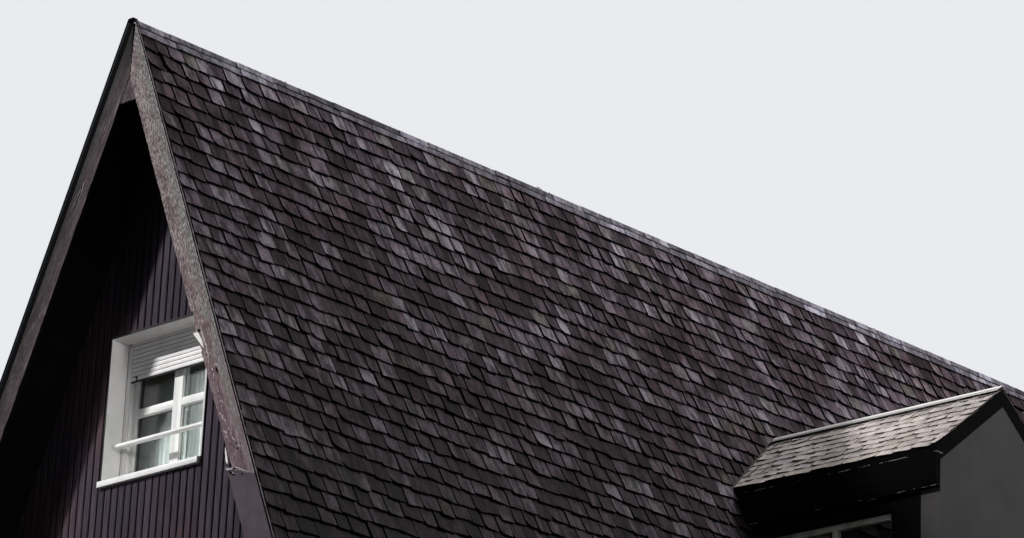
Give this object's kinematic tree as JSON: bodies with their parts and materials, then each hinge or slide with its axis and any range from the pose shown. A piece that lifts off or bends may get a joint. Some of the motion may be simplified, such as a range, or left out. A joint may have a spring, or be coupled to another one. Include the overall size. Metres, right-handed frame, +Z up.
{
  "type": "steep gabled roof storey with a dormer window",
  "caption": "Steep slate-roofed gable storey with a deep overhang, barge boards, a shuttered and railed casement window, and a low side dormer on one slope.",
  "frame": {"origin": "centre of the underside of the floor, under the middle of the ridge", "axes": "+X towards the slope with the side dormer, +Y along the ridge from the shuttered gable to the back gable, +Z up"},
  "size_m": [5.5241, 12, 4.765],
  "materials": {
    "concrete": "matt rough concrete",
    "floor_timber": "worn oiled boards",
    "roof_timber": "rough sawn timber",
    "lining_board": "matt painted board",
    "soffit_board": "matt dark stained board",
    "dark_slate": "matt riven slate, slightly rough",
    "ridge_slate": "matt weathered slate",
    "pale_slate": "matt pale weathered slate",
    "weathered_wood": "bare weathered wood with peeling paint",
    "mended_board": "smooth satin paint",
    "verge_metal": "dull weathered metal",
    "masonry": "matt plaster",
    "dark_boarding": "matt stained boards",
    "white_plastic": "satin white plastic",
    "white_metal": "satin white paint",
    "shutter_plastic": "satin pale grey plastic",
    "glass": "clear glass",
    "curtain_fabric": "thin pale voile",
    "curtain_metal": "satin paint",
    "black_board": "matt dark stain",
    "ridge_metal": "dull pale metal"
  },
  "bodies": {
    "root": {"floor_slab": "concrete", "floor_boards": "floor_timber", "wing_floor": "concrete", "roof_left": "roof_timber", "roof_right_front": "roof_timber", "roof_right_rear": "roof_timber", "roof_right_over": "roof_timber", "linings": "lining_board", "soffits": "soffit_board", "slates_left": "dark_slate", "slates_right": "dark_slate", "ridge_strips": "ridge_slate", "barge_front_left": "weathered_wood", "barge_front_right": "weathered_wood", "barge_mend": "mended_board", "barge_back_left": "weathered_wood", "barge_back_right": "weathered_wood", "apex_fillers": "weathered_wood", "verge_strips": "verge_metal", "front_wall": "masonry", "back_wall": "masonry", "front_boarding": "dark_boarding", "back_boarding": "dark_boarding", "window_surround": "white_plastic", "window_sill": "white_metal", "window_frame": "white_plastic", "sash_left": "white_plastic", "sash_right": "white_plastic", "glass_left": "glass", "glass_right": "glass", "back_surround": "white_plastic", "back_sill": "white_metal", "back_frame": "white_plastic", "back_sashes": "white_plastic", "back_glass": "glass", "shutter_box": "shutter_plastic", "shutter_guides": "white_plastic", "roller_shutter": "shutter_plastic", "guard_rail": "white_metal", "curtain_rail": "curtain_metal", "curtain_left": "curtain_fabric", "curtain_right": "curtain_fabric", "wing_wall_front": "black_board", "wing_wall_rear": "masonry", "party_wall": "masonry", "wing_roof_front": "roof_timber", "wing_roof_rear": "roof_timber", "wing_slates_front": "pale_slate", "wing_slates_rear": "pale_slate", "wing_ridge_strip": "ridge_metal", "wing_fascias": "black_board", "wing_frame": "white_plastic", "wing_glass": "glass"}
  },
  "joints": []
}
